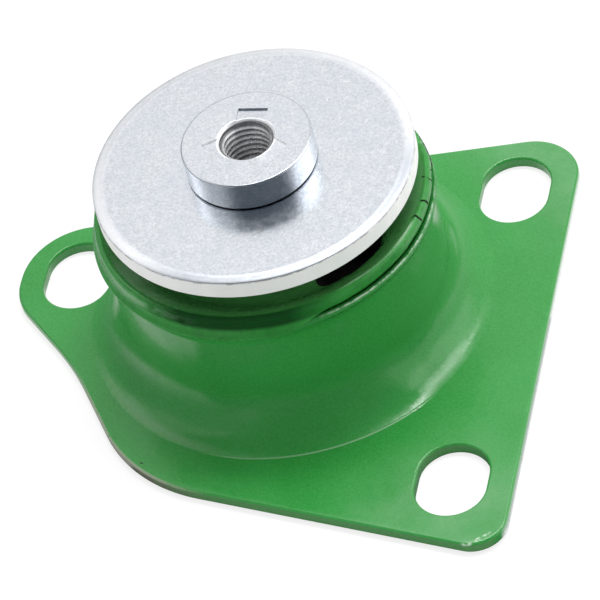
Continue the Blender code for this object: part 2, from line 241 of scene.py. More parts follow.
def meet(point_a, direction_a, point_b, direction_b):
    span = point_b - point_a
    cross = direction_a.x * direction_b.y - direction_a.y * direction_b.x
    along = (span.x * direction_b.y - span.y * direction_b.x) / cross
    return point_a + direction_a * along


def rounded(corners):
    points = []
    for i, (corner, radius) in enumerate(corners):
        before = (corner - corners[i - 1][0]).normalized()
        after = (corners[(i + 1) % len(corners)][0] - corner).normalized()
        turn = math.atan2(before.x * after.y - before.y * after.x, before.dot(after))
        side = math.copysign(1, turn)
        left = Vector((-before.y, before.x)) * side
        centre = corner - before * radius * math.tan(abs(turn) / 2) + left * radius
        start = math.atan2(-left.y, -left.x)
        curve = arc(centre, radius, start, start + turn)
        if points and math.dist(points[-1], curve[0]) < 0.00005:
            curve = curve[1:]
        points += curve
    return points


def flange_outline():
    rear_slot, front_slot, left_slot = SLOT_CENTRES
    shoulder = TOE_RADIUS + CUP_MARGIN
    half_run = Vector((0, SLOT_RUN / 2))
    lobe_reach = SLOT_WIDTH / 2 + LOBE_LAND
    lobe_side = left_slot - Vector((lobe_reach, 0))
    lobe_rear = left_slot + half_run + Vector((0, lobe_reach))
    rear_corner = rear_slot + Vector((RIGHT_LAND, REAR_LAND))
    rear_edge = polar(1, REAR_EDGE_ANGLE)
    left_edge = Vector((-1, 0))
    rear_turn = neck_angle(shoulder, rear_corner, rear_edge)
    left_turn = neck_angle(shoulder, lobe_rear, left_edge)
    half_turn = (left_turn - rear_turn) / 2
    crown = polar(shoulder / math.cos(half_turn), rear_turn + half_turn)
    rear_neck = meet(crown, polar(1, rear_turn - math.pi / 2), rear_corner, rear_edge)
    left_neck = meet(crown, polar(1, left_turn + math.pi / 2), lobe_rear, left_edge)
    waist = polar(TOE_RADIUS + WAIST_MARGIN, WAIST_ANGLE)
    lower = tangent_direction(waist, left_slot - half_run, lobe_reach)
    return rounded([
        (rear_corner, REAR_CORNER_RADIUS),
        (rear_neck, NECK_RADIUS),
        (crown, shoulder),
        (left_neck, NECK_RADIUS),
        (Vector((lobe_side.x, lobe_rear.y)), lobe_reach + LOBE_REAR_EASE),
        (meet(waist, lower, lobe_side, Vector((0, 1))), lobe_reach + LOBE_FRONT_EASE),
        (waist, WAIST_RADIUS),
        (polar(TOE_RADIUS + SWEEP_MARGIN, SWEEP_ANGLE), SWEEP_RADIUS),
        (front_slot + Vector((RIGHT_LAND, -FRONT_LAND)), FRONT_CORNER_RADIUS),
    ])


def inset(outline, distance):
    moved = []
    for i, (x, y) in enumerate(outline):
        here = Vector((x, y))
        before = (here - Vector(outline[i - 1])).normalized()
        after = (Vector(outline[(i + 1) % len(outline)]) - here).normalized()
        along = (before + after).normalized()
        moved.append(here + Vector((-along.y, along.x)) * distance / along.dot(after))
    return moved


def divided(points, longest, closed=True):
    """A polyline with its long runs divided, so that a bend in it spreads evenly."""
    out = []
    count = len(points) if closed else len(points) - 1
    for i in range(count):
        a, b = Vector(points[i]), Vector(points[(i + 1) % len(points)])
        parts = max(1, math.ceil((b - a).length / longest))
        out += [tuple(a.lerp(b, k / parts)) for k in range(parts)]
    if not closed:
        out.append(tuple(points[-1]))
    return out


def sampled(points, count):
    """A polyline redrawn with a number of points at even distances."""
    points = [Vector(point) for point in points]
    reach = [0.0]
    for a, b in zip(points, points[1:]):
        reach.append(reach[-1] + (b - a).length)
    out = []
    for k in range(count):
        want = reach[-1] * k / (count - 1)
        i = max(j for j in range(len(reach)) if reach[j] <= want + 1e-12)
        i = min(i, len(points) - 2)
        share = (want - reach[i]) / (reach[i + 1] - reach[i])
        out.append(points[i].lerp(points[i + 1], min(1, share)))
    return out


def smooth(low, high, value):
    share = min(1, max(0, (value - low) / (high - low)))
    return share * share * (3 - 2 * share)


def window(rise_start, rise_end, fall_start, fall_end, value):
    return smooth(rise_start, rise_end, value) * (1 - smooth(fall_start, fall_end, value))


def azimuth(point):
    return math.degrees(math.atan2(point[1], point[0]))


def on_axis(radius, degrees, height):
    """Point given by radius and azimuth round the mount's axis."""
    flat = polar(radius, math.radians(degrees))
    return AXIS + Vector((flat.x, flat.y, height))


def link(name, mesh):
    made = bpy.data.objects.new(name, mesh)
    scene.collection.objects.link(made)
    return made


def piece(bm, name):
    mesh = bpy.data.meshes.new(name)
    bm.to_mesh(mesh)
    bm.free()
    return link(name, mesh)


def stitch(bm, near, far, closed=True):
    """Faces between two neighbouring rings of vertices."""
    for k in range(len(near) if closed else len(near) - 1):
        n = (k + 1) % len(near)
        bm.faces.new((near[k], near[n], far[n], far[k]))


def spun(name, profile, steps=STEPS):
    """A closed (radius, height) profile, its outer side running down, turned round the origin."""
    bm = bmesh.new()
    rings = []
    for i in range(steps):
        c, s = polar(1, math.tau * i / steps)
        rings.append([bm.verts.new((r * c, r * s, z)) for r, z in profile])
    for near, far in zip(rings, rings[1:] + rings[:1]):
        stitch(bm, near, far)
    return piece(bm, name)


def lofted(name, loops):
    bm = bmesh.new()
    rings = [[bm.verts.new(point) for point in loop] for loop in loops]
    for low, high in zip(rings, rings[1:]):
        stitch(bm, low, high)
    bm.faces.new(list(reversed(rings[0])))
    bm.faces.new(rings[-1])
    return piece(bm, name)


def modify(obj, name, kind, **settings):
    modifier = obj.modifiers.new(name, kind)
    for key, value in settings.items():
        setattr(modifier, key, value)


def cut(target, cutters):
    for cutter in cutters:
        modify(target, "Cut", "BOOLEAN", operation="DIFFERENCE", solver="EXACT", object=cutter)


def settle(obj, cutters=(), sharp=32):
    """Applies the modifiers, removes the cutters and shades smooth up to an edge angle."""
    bpy.context.view_layer.update()
    graph = bpy.context.evaluated_depsgraph_get()
    mesh = bpy.data.meshes.new_from_object(obj.evaluated_get(graph))
    mesh.name = obj.name
    obj.modifiers.clear()
    obj.data = mesh
    for cutter in cutters:
        bpy.data.objects.remove(cutter, do_unlink=True)
    mesh.shade_smooth()
    mesh.set_sharp_from_angle(angle=math.radians(sharp))
    return obj


def place(obj, even=False):
    """Moves a piece from the origin to the mount's axis, with even shading if it is wanted."""
    obj.data.transform(Matrix.Translation(AXIS))
    if even:
        modify(obj, "Even shading", "WEIGHTED_NORMAL", keep_sharp=True, weight=80)
    return obj


# Housing: cup, rim, flange and slots
def cup_profile():
    points = [(CUP_RADIUS + RIM_REACH, RIM_HEIGHT)]
    points += arc((RIM_BEND_X, RIM_BEND_Z), RIM_BEND, math.pi - RIM_ANGLE, math.pi)
    fillet = arc((TOE_RADIUS, SHEET + FILLET_RADIUS), FILLET_RADIUS, math.pi, math.pi * 1.5)
    fillet.insert(-1, (TOE_RADIUS - TOE_TAIL, SHEET + 0.000004))
    return divided(points + fillet, 0.0025, closed=False)


def slot_loop(centre, grow, height):
    radius = SLOT_WIDTH / 2
    widen = 1 + grow / radius
    points = []
    for run, start in ((SLOT_RUN / 2, 0), (-SLOT_RUN / 2, math.pi)):
        for x, y in arc((0, 0), radius, start, start + math.pi):
            points.append((centre.x + x * widen, centre.y + run + y * widen, height))
    return points


def slot_cutter(name, centre):
    """Cutter for one slot; its wall opens in an arc at the top face and rounds the edge."""
    loops = [slot_loop(centre, SLOT_EDGE, -SHEET), slot_loop(centre, 0, SLOT_EDGE)]
    loops.append(slot_loop(centre, 0, SHEET - SLOT_EDGE))
    for k in range(1, 7):
        turn = math.radians(14 * k)
        loops.append(slot_loop(centre, SLOT_EDGE * (1 - math.cos(turn)),
                               SHEET - SLOT_EDGE * (1 - math.sin(turn))))
    for height in (SHEET + SLOT_EDGE, SHEET + FILLET_RADIUS):
        loops.append(slot_loop(centre, SLOT_EDGE * 1.4, height))
    return lofted(name, loops)


def draw_in_rim(housing):
    """Rounds the flared edge, which is thinner on the right, and thinnest where it is torn."""
    for vertex in housing.data.vertices:
        radius = vertex.co.xy.length
        section = Vector((radius, vertex.co.z))
        if vertex.co.z < 0.020 or radius > TOE_RADIUS:
            continue
        for corner in (RIM_CORNER, RIM_CORNER - RIM_IN * SHEET):
            if (section - corner).length < EDGE_ROUND * 1.02:
                section = corner + (section - corner) * RIM_ROUND / EDGE_ROUND
                break
        back = (RIM_CORNER - section).dot(RIM_OUT)
        across = max(0, (RIM_CORNER - section).dot(RIM_IN))
        turn = azimuth(vertex.co)
        thin = RIM_THINNING * (1 + math.cos(math.radians(turn + 10)))
        thin += TORN_THINNING * window(12, 26, 40, 55, turn)
        thin *= 1 - smooth(0, THINNING_REACH, back)
        section += RIM_IN * across * thin
        vertex.co.xy *= section.x / radius
        vertex.co.z = section.y


def draw_toe(housing):
    """The fillet meets the flange at a slight angle, which shows as a fine line along its toe."""
    middle = Vector((TOE_RADIUS, SHEET + FILLET_RADIUS))
    for vertex in housing.data.vertices:
        radius = vertex.co.xy.length
        away = middle - Vector((radius, vertex.co.z))
        if min(away) < -WELD or abs(away.length - FILLET_RADIUS) > WELD * 5:
            continue
        slope = math.atan2(away.x, away.y)
        turn = azimuth(vertex.co)
        start = TOE_SLOPE * (1 - TOE_EASE * window(-42, -30, 14, 44, turn))
        bend = (TOE_RADIUS - CUP_RADIUS) / (1 - math.sin(start))
        slope = start + slope * (math.pi / 2 - start) / (math.pi / 2)
        wide = CUP_RADIUS + bend * (1 - math.sin(slope))
        vertex.co.xy *= wide / radius
        vertex.co.z = SHEET + bend * (math.cos(start) - math.cos(slope))


def build_housing():
    bm = bmesh.new()
    profile = [bm.verts.new((radius, 0, height)) for radius, height in cup_profile()]
    edges = [bm.edges.new(pair) for pair in zip(profile, profile[1:])]
    bmesh.ops.spin(bm, geom=profile + edges, cent=(0, 0, 0), axis=(0, 0, 1),
                   angle=math.tau, steps=STEPS, use_merge=True)
    bmesh.ops.remove_doubles(bm, verts=bm.verts, dist=WELD)
    toe = [edge for edge in bm.edges if edge.is_boundary and edge.verts[0].co.z < SHEET * 1.5]
    outline = divided(flange_outline(), 0.002)
    border = [bm.verts.new((x, y, SHEET)) for x, y in outline]
    inner = [bm.verts.new((x, y, SHEET)) for x, y in inset(outline, EDGE_ROUND * 2)]
    for i in range(len(border)):
        bm.faces.new((border[i - 1], border[i], inner[i], inner[i - 1]))
    seam = [bm.edges.get((inner[i - 1], inner[i])) for i in range(len(inner))]
    bmesh.ops.triangle_fill(bm, use_beauty=True, edges=toe + seam)
    bmesh.ops.recalc_face_normals(bm, faces=bm.faces)
    flat = max(bm.faces, key=lambda face: face.calc_center_median().xy.length)
    if flat.normal.z < 0:
        bmesh.ops.reverse_faces(bm, faces=bm.faces)
    housing = piece(bm, "cup_and_flange")
    modify(housing, "Gauge", "SOLIDIFY", thickness=SHEET, offset=-1, use_even_offset=True,
           use_quality_normals=True)
    modify(housing, "Soft edges", "BEVEL", width=EDGE_ROUND, segments=4, limit_method="ANGLE",
           angle_limit=BEVEL_ANGLE, use_clamp_overlap=False)
    cutters = [slot_cutter("slot", centre) for centre in SLOT_CENTRES]
    cut(housing, cutters)
    settle(housing, cutters)
    draw_in_rim(housing)
    draw_toe(housing)
    return place(housing, even=True)


# Disc, bush and thread
def build_disc():
    hole = BUSH_SHANK_RADIUS + SEAT_GAP
    low = UNDER_ROUND
    start = DISC_RADIUS - BAND_WIDTH
    end = start + BAND_RUN
    drop = BAND_RUN * math.tan(BAND_SLOPE)
    roll = [(start - 0.0004, DISC_TOP), (start - 0.0002, DISC_TOP - 0.000004),
            (start + 0.0001, DISC_TOP - 0.00003), (end - 0.0004, DISC_TOP - drop + 0.00009)]
    roll += arc((end, DISC_TOP - drop - 0.0003), DISC_RADIUS - end, math.radians(77), 0, 0.000008)
    low_round = arc((DISC_RADIUS - low, DISC_BOTTOM + low), low, 0, -math.pi / 2)
    profile = [(hole, DISC_TOP), (0.0118, DISC_TOP), (0.0126, DISC_TOP), (0.017, DISC_TOP),
               (0.023, DISC_TOP)]
    profile += roll + low_round + [(0.022, DISC_BOTTOM), (hole, DISC_BOTTOM)]
    disc = spun("limiting_disc", profile, 256)
    settle(disc)
    return place(disc, even=True)


def dent_cutter(angle):
    """Wedge with drafted sides; its outer edge is deepest and its floor rises inwards."""
    bm = bmesh.new()
    bmesh.ops.create_cube(bm, size=1)
    reach = DENT_REACH - THREAD_MINOR
    height = DENT_DEPTH * 3
    bmesh.ops.scale(bm, verts=bm.verts, vec=(reach, DENT_WIDTH, height))
    bmesh.ops.translate(bm, verts=bm.verts, vec=(-reach / 2, 0, height / 2))
    for vertex in bm.verts:
        draft = 0.0004 if vertex.co.z > height / 2 else -0.0002
        vertex.co.y += math.copysign(draft, vertex.co.y)
    bmesh.ops.rotate(bm, verts=bm.verts, matrix=Matrix.Rotation(DENT_SLOPE, 3, "Y"))
    cutter = piece(bm, "dent")
    edge = polar(DENT_REACH, angle)
    cutter.location = (edge.x, edge.y, BUSH_TOP - DENT_DEPTH)
    cutter.rotation_euler.z = angle
    return cutter


def build_bush():
    mouth_depth = MOUTH_RADIUS - THREAD_MAJOR
    hidden = THREAD_MAJOR + 0.00003
    profile = arc((BUSH_HEAD_RADIUS - HEAD_ROUND, BUSH_TOP - HEAD_ROUND), HEAD_ROUND,
                  math.pi / 2, 0, 0.00001)
    profile += [
        (BUSH_HEAD_RADIUS, DISC_TOP + SEAT_GAP + HEAD_EASE),
        (BUSH_HEAD_RADIUS - HEAD_EASE, DISC_TOP + SEAT_GAP),
        (BUSH_SHANK_RADIUS, DISC_TOP + SEAT_GAP),
        (BUSH_SHANK_RADIUS, BUSH_FOOT_Z + FOOT_EDGE),
        (BUSH_SHANK_RADIUS - FOOT_EDGE, BUSH_FOOT_Z),
        (MOUTH_RADIUS, BUSH_FOOT_Z),
        (hidden, BUSH_FOOT_Z + mouth_depth),
        (hidden, BUSH_TOP - mouth_depth),
        (MOUTH_RADIUS - 0.0001, BUSH_TOP - 0.00012),
        (MOUTH_RADIUS + 0.0001, BUSH_TOP),
    ]
    bush = spun("headed_bush", profile, 144)
    cutters = [dent_cutter(DENT_START + math.tau * i / 3) for i in range(3)]
    cut(bush, cutters)
    modify(bush, "Struck edges", "BEVEL", width=STRUCK_ROUND, segments=2, limit_method="ANGLE",
           angle_limit=BEVEL_ANGLE)
    settle(bush, cutters, sharp=50)
    return place(bush, even=True)


def build_thread():
    """Helical surface of the threaded hole, cut back by the chamfers at both ends."""
    depth = THREAD_MAJOR - THREAD_MINOR
    shape = [(0.00, 0.0), (0.10, 0.0), (0.14, 0.08), (0.46, 0.92), (0.50, 1.0), (0.60, 1.0),
             (0.64, 0.92), (0.96, 0.08)]
    top = BUSH_TOP - (MOUTH_RADIUS - THREAD_MAJOR) + 0.00004
    bottom = BUSH_FOOT_Z + (MOUTH_RADIUS - THREAD_MAJOR) - 0.00004
    turns = math.ceil((top - bottom) / THREAD_PITCH) + 2
    bm = bmesh.new()
    rows = []
    for k in range(turns):
        for share, rise in shape:
            row = []
            for i in range(THREAD_STEPS + 1):
                z = bottom + (k - 1 + share + i / THREAD_STEPS) * THREAD_PITCH
                radius = THREAD_MAJOR - depth * (0.5 - 0.5 * math.cos(math.pi * rise))
                z = min(max(z, bottom), top)
                radius = max(radius, MOUTH_RADIUS - min(BUSH_TOP - z, z - BUSH_FOOT_Z))
                x, y = polar(radius, math.tau * i / THREAD_STEPS)
                row.append(bm.verts.new((x, y, z)))
            rows.append(row)
    for low, high in zip(rows, rows[1:]):
        for i in range(THREAD_STEPS):
            quad = (low[i + 1], low[i], high[i], high[i + 1])
            heights = [vertex.co.z for vertex in quad]
            if max(heights) - min(heights) > 1e-6:
                bm.faces.new(quad)
    bmesh.ops.remove_doubles(bm, verts=bm.verts, dist=0.000005)
    loose = [v for v in bm.verts if not v.link_faces]
    bmesh.ops.delete(bm, geom=loose, context="VERTS")
    thread = piece(bm, "bush_thread")
    settle(thread, sharp=60)
    return place(thread)


# Rubber: the bead and the web with its pockets
def core_radius(height):
    top = DISC_BOTTOM - SEAT_GAP
    share = (height - BUSH_FOOT_Z) / (top - BUSH_FOOT_Z)
    return CORE_FOOT_RADIUS + (CORE_NECK_RADIUS - CORE_FOOT_RADIUS) * share


def rubber_profiles():
    """Section of the rubber in two open runs that meet at SPLIT_RADIUS: the bead with the outer
    wall, and the web with the sleeve. Also the height of the web's upper side at any radius."""
    wall = CUP_RADIUS - SHEET - SEAT_GAP
    side_centre = CREST_CENTRE + polar(CREST_RADIUS - BEAD_SIDE_RADIUS, BEAD_SIDE_ANGLE)
    face_gap = (RIM_CORNER - side_centre).dot(RIM_OUT) + SEAM_GAP
    bead = arc(CREST_CENTRE, CREST_RADIUS, math.pi / 2 + BEAD_SLOPE, BEAD_SIDE_ANGLE)
    slope_x, slope_z = bead[0]
    corner = RIM_CORNER + (RIM_IN + RIM_OUT) * SEAT_GAP
    bend = RIM_BEND + SHEET + SEAT_GAP
    trough_z = slope_z - (slope_x - TROUGH_RADIUS) * math.tan(BEAD_SLOPE)
    split_z = slope_z - (slope_x - SPLIT_RADIUS) * math.tan(BEAD_SLOPE)
    sleeve_top = DISC_BOTTOM - SEAT_GAP - SLEEVE_DROP
    sleeve = core_radius(sleeve_top) + SEAT_GAP
    foot_z = BUSH_FOOT_Z + CORE_EDGE
    foot = core_radius(foot_z) + SEAT_GAP
    arch_mid = (wall + foot) / 2
    crest = [(SPLIT_RADIUS, split_z)] + bead
    seam_foot = math.atan2(RIM_OUT.y, RIM_OUT.x) - math.acos(face_gap / BEAD_SIDE_RADIUS)
    seam = arc(side_centre, BEAD_SIDE_RADIUS, BEAD_SIDE_ANGLE, seam_foot)
    side_x = side_centre.x + BEAD_SIDE_RADIUS
    knee = Vector((side_x, RIM_CORNER.y - (side_x - RIM_CORNER.x) + SKIN * 1.4))
    reach = COVE_RADIUS * math.tan(math.pi / 8)
    cove_centre = knee + Vector((COVE_RADIUS, reach))
    laid = arc(side_centre, BEAD_SIDE_RADIUS, BEAD_SIDE_ANGLE, 0)
    laid += arc(cove_centre, COVE_RADIUS, math.pi, math.pi * 1.25)
    laid += [tuple(knee + Vector((0.0009, drop))) for drop in (-0.0009, -0.0011)]
    outer = arc((RIM_BEND_X, RIM_BEND_Z), bend, math.pi - RIM_ANGLE, math.pi, 0.00003)
    outer = [(corner.x, corner.y)] + outer
    outer += [(wall, RUBBER_FOOT_Z + 0.0006), (wall - 0.0006, RUBBER_FOOT_Z),
              (SPLIT_RADIUS, RUBBER_FOOT_Z)]
    trough = arc((TROUGH_RADIUS, trough_z + TROUGH_BEND), TROUGH_BEND, math.pi * 1.1,
                 math.pi * 1.5 + BEAD_SLOPE)
    inner = [(SPLIT_RADIUS, RUBBER_FOOT_Z), (wall - RUBBER_LIP, RUBBER_FOOT_Z),
             (arch_mid, RUBBER_FOOT_Z + ARCH_RISE), (foot + RUBBER_LIP, foot_z), (foot, foot_z),
             (sleeve, sleeve_top), (sleeve + SLEEVE_WALL, sleeve_top)]
    upper = [(sleeve + SLEEVE_WALL, sleeve_top)] + trough + [(SPLIT_RADIUS, split_z)]

    def top_at(radius):
        for (ra, za), (rb, zb) in zip(upper, upper[1:]):
            if ra <= radius <= rb and rb > ra:
                return za + (zb - za) * (radius - ra) / (rb - ra)
        return upper[-1][1] + (radius - upper[-1][0]) * math.tan(BEAD_SLOPE)

    runs = {"crest": crest, "seam": seam, "laid": laid, "outer": outer}
    return runs, inner + trough + [(SPLIT_RADIUS, split_z)], top_at


def pocket_plan(angle):
    radius = POCKET_WIDTH / 2
    middle = POCKET_OUTER - radius
    start, end = angle - POCKET_SPAN / 2, angle + POCKET_SPAN / 2
    points = arc((0, 0), POCKET_OUTER, start, end)
    points += arc(polar(middle, end), radius, end, end + math.pi)[1:]
    points += arc((0, 0), POCKET_OUTER - POCKET_WIDTH, end, start)[1:]
    points += arc(polar(middle, start), radius, start + math.pi, start + math.tau)[1:-1]
    eased = []
    for x, y in divided(points, 0.0006):
        point = Vector((x, y))
        off = (math.atan2(y, x) - angle + math.pi) % math.tau - math.pi
        near_end = smooth(0.62, 1.08, abs(off) / (POCKET_SPAN / 2))
        outer_side = smooth(-radius, radius, point.length - middle)
        eased.append(tuple(point * (1 - 0.0016 * near_end * outer_side / point.length)))
    return eased


def pocket_cutter(angle, top_at):
    """Post through the rubber whose wall opens in a rounded lip along the sloping upper side."""
    plan = [Vector(point) for point in pocket_plan(angle)]
    outward = []
    for i, here in enumerate(plan):
        along = (plan[(i + 1) % len(plan)] - plan[i - 1]).normalized()
        outward.append(Vector((along.y, -along.x)))

    def loop(grow, drop):
        ring = []
        for here, out in zip(plan, outward):
            moved = here + out * grow
            ring.append((moved.x, moved.y, top_at(moved.length) - drop))
        return ring

    loops = [[(p.x, p.y, 0.0) for p in plan], loop(0, POCKET_LIP)]
    for k in range(1, 9):
        turn = math.radians(10.4 * k)
        loops.append(loop(POCKET_LIP * (1 - math.cos(turn)), POCKET_LIP * (1 - math.sin(turn))))
    loops.append(loop(POCKET_LIP * 1.2, -POCKET_LIP))
    loops.append([(x, y, DISC_TOP) for x, y, z in loops[-1]])
    return lofted("pocket", loops)


def seam_share(turn):
    """1 where the seam between bead and rim stays open, 0 where paint and rubber fill it."""
    share = smooth(-76, -56, turn) * (1 - smooth(140, 176, turn))
    wander = 0.5 + 0.5 * noise.noise(Vector((turn * 0.09, 3.0, 0.0)))
    return share * (1 - smooth(60, 90, turn) * (1 - wander))


def build_bead(runs):
    """The bead: its side is laid onto the rim at the front and left and stands off it elsewhere."""
    crest = [Vector(point) for point in divided(runs["crest"], 0.0006, closed=False)]
    seam = sampled(runs["seam"], SIDE_POINTS)[1:]
    laid = sampled(runs["laid"], SIDE_POINTS)[1:]
    outer = [Vector(point) for point in divided(runs["outer"], 0.003, closed=False)]
    bm = bmesh.new()
    rings = []
    for i in range(BEAD_STEPS):
        angle = math.tau * i / BEAD_STEPS - math.pi
        turn = math.degrees(angle)
        open_share = seam_share(turn)
        shadow = window(-132, -112, -72, -52, turn)
        torn = window(18, 27, 37, 52, turn)
        crumpled = window(-124, -118, -108, -101, turn)
        clear = window(-72, -52, 12, 30, turn)
        ring = []
        for section in crest + [b.lerp(a, open_share) for a, b in zip(seam, laid)] + outer:
            point = section.copy()
            top = smooth(SPLIT_RADIUS, SPLIT_RADIUS + 0.002, point.x)
            top *= smooth(RIM_CORNER.y - 0.0006, RIM_CORNER.y + 0.0004, point.y)
            where = Vector((math.cos(angle) * point.x, math.sin(angle) * point.x, point.y))
            point.x += 0.00007 * top * noise.noise(where * 260)
            point.y += 0.00006 * top * noise.noise(where * 190 + Vector((5, 5, 5)))
            hollow = window(0.0286, 0.0296, 0.0300, 0.0312, section.y) * top
            point.x -= HOLLOW_DEPTH * hollow * shadow
            ridges = math.sin(section.y * 9000 + turn * 0.9) * noise.noise(where * 420)
            point.x += CRUMPLE_DEPTH * crumpled * top * ridges
            point.x -= CLEARING_DEPTH * clear * top * smooth(0.0300, 0.0309, section.x)
            ragged = 0.75 + 0.5 * noise.noise(where * 900)
            lost = TORN_DEPTH * torn * top * ragged * smooth(0.0295, 0.0308, section.x)
            point -= Vector((lost, lost))
            x, y = polar(point.x, angle)
            ring.append(bm.verts.new((x, y, point.y)))
        rings.append(ring)
    for near, far in zip(rings, rings[1:] + rings[:1]):
        stitch(bm, near, far, closed=False)
    bead = piece(bm, "rubber_bead")
    settle(bead, sharp=60)
    return place(bead)


def build_web(inner, top_at):
    whole = spun("web", divided(inner, 0.0012))
    cutters = [pocket_cutter(POCKET_ANGLE + math.pi * i, top_at) for i in range(2)]
    cut(whole, cutters)
    settle(whole, cutters, sharp=40)
    parts = []
    half = math.pi / SECTORS
    for k in range(SECTORS):
        middle = POCKET_ANGLE + half * 2 * k
        bm = bmesh.new()
        bm.from_mesh(whole.data)
        for turn in (middle - half, middle + half + math.pi):
            normal = Vector((-math.sin(turn), math.cos(turn), 0))
            geom = bm.verts[:] + bm.edges[:] + bm.faces[:]
            bmesh.ops.bisect_plane(bm, geom=geom, plane_co=(0, 0, 0), plane_no=normal,
                                   clear_inner=True, dist=1e-7)
        # The skin's inner sheet at SPLIT_RADIUS is hidden inside the bead and isn't needed
        inside = [f for f in bm.faces
                  if all(abs(v.co.xy.length - SPLIT_RADIUS) < 2e-5 for v in f.verts)]
        bmesh.ops.delete(bm, geom=inside, context="FACES")
        parts.append((place(piece(bm, "rubber_web_%d" % (k + 1))), middle))
    bpy.data.objects.remove(whole, do_unlink=True)
    return parts


# Materials: short hand for their nodes, then one function for each finish
class Graph:
    """Short hand for building the nodes of a tree."""

    def __init__(self, tree):
        self.tree = tree

    def add(self, kind, inputs=None, **options):
        node = self.tree.nodes.new(kind)
        for key, value in options.items():
            setattr(node, key, value)
        for key, value in (inputs or {}).items():
            self.join(value, node.inputs[key])
        return node

    def join(self, source, target):
        if hasattr(source, "is_output"):
            self.tree.links.new(source, target)
        elif target.type != "VECTOR" or hasattr(source, "__len__"):
            target.default_value = source

    def math(self, operation, a, b=0.0):
        return self.add("ShaderNodeMath", {0: a, 1: b}, operation=operation).outputs[0]

    def chain(self, operation, values):
        out = values[0]
        for value in values[1:]:
            out = self.math(operation, out, value)
        return out

    def times(self, *values):
        return self.chain("MULTIPLY", values)

    def plus(self, *values):
        return self.chain("ADD", values)

    def most(self, *values):
        return self.chain("MAXIMUM", values)

    def span(self, value, low, high, to_low=0.0, to_high=1.0):
        limits = {"Value": value, "From Min": low, "From Max": high, "To Min": to_low,
                  "To Max": to_high}
        return self.add("ShaderNodeMapRange", limits, clamp=True).outputs["Result"]

    def fall(self, value, low, high):
        return self.span(value, low, high, 1.0, 0.0)

    def window(self, value, rise_start, rise_end, fall_start, fall_end):
        return self.times(self.span(value, rise_start, rise_end),
                          self.fall(value, fall_start, fall_end))

    def seen(self):
        """1 for camera, glossy and transmission rays, 0 for all others."""
        rays = self.add("ShaderNodeLightPath").outputs
        return self.most(rays["Is Camera Ray"], rays["Is Glossy Ray"], rays["Is Transmission Ray"])


